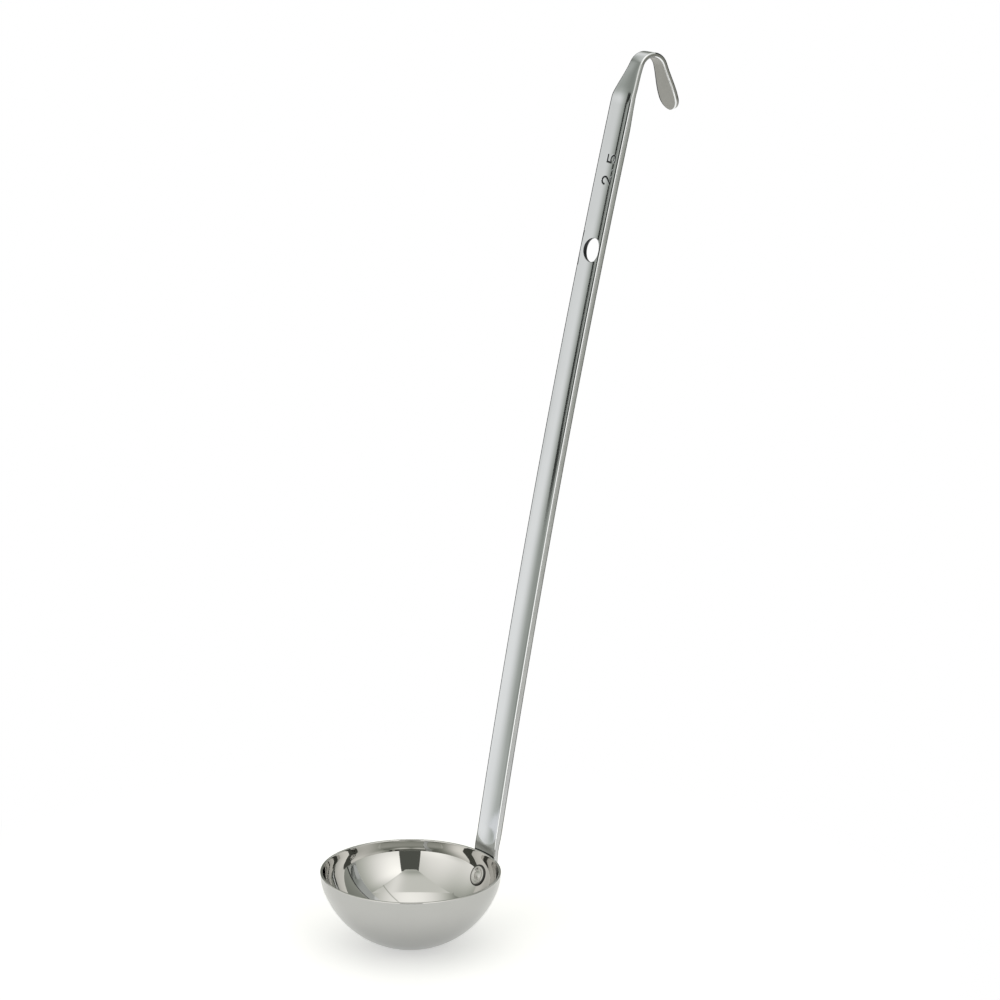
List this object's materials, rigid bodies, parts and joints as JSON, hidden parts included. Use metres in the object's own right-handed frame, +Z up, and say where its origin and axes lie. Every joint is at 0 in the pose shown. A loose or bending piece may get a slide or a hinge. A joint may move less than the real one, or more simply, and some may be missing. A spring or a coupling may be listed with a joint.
{
  "type": "soup ladle",
  "caption": "Small stainless soup ladle: a 72 mm pressed bowl riveted to a long channelled strip handle with a hang hole and a hook.",
  "frame": {"origin": "centre of the bowl's mouth, in the plane of the rim", "axes": "+Z up along the bowl's axis, +X toward the handle"},
  "size_m": [0.1602, 0.072, 0.3495],
  "materials": {
    "polished_steel": "polished",
    "satin_steel": "satin",
    "rivet_steel": "satin"
  },
  "bodies": {
    "root": {"bowl": "polished_steel", "handle": "satin_steel", "rivet": "rivet_steel"}
  },
  "joints": []
}
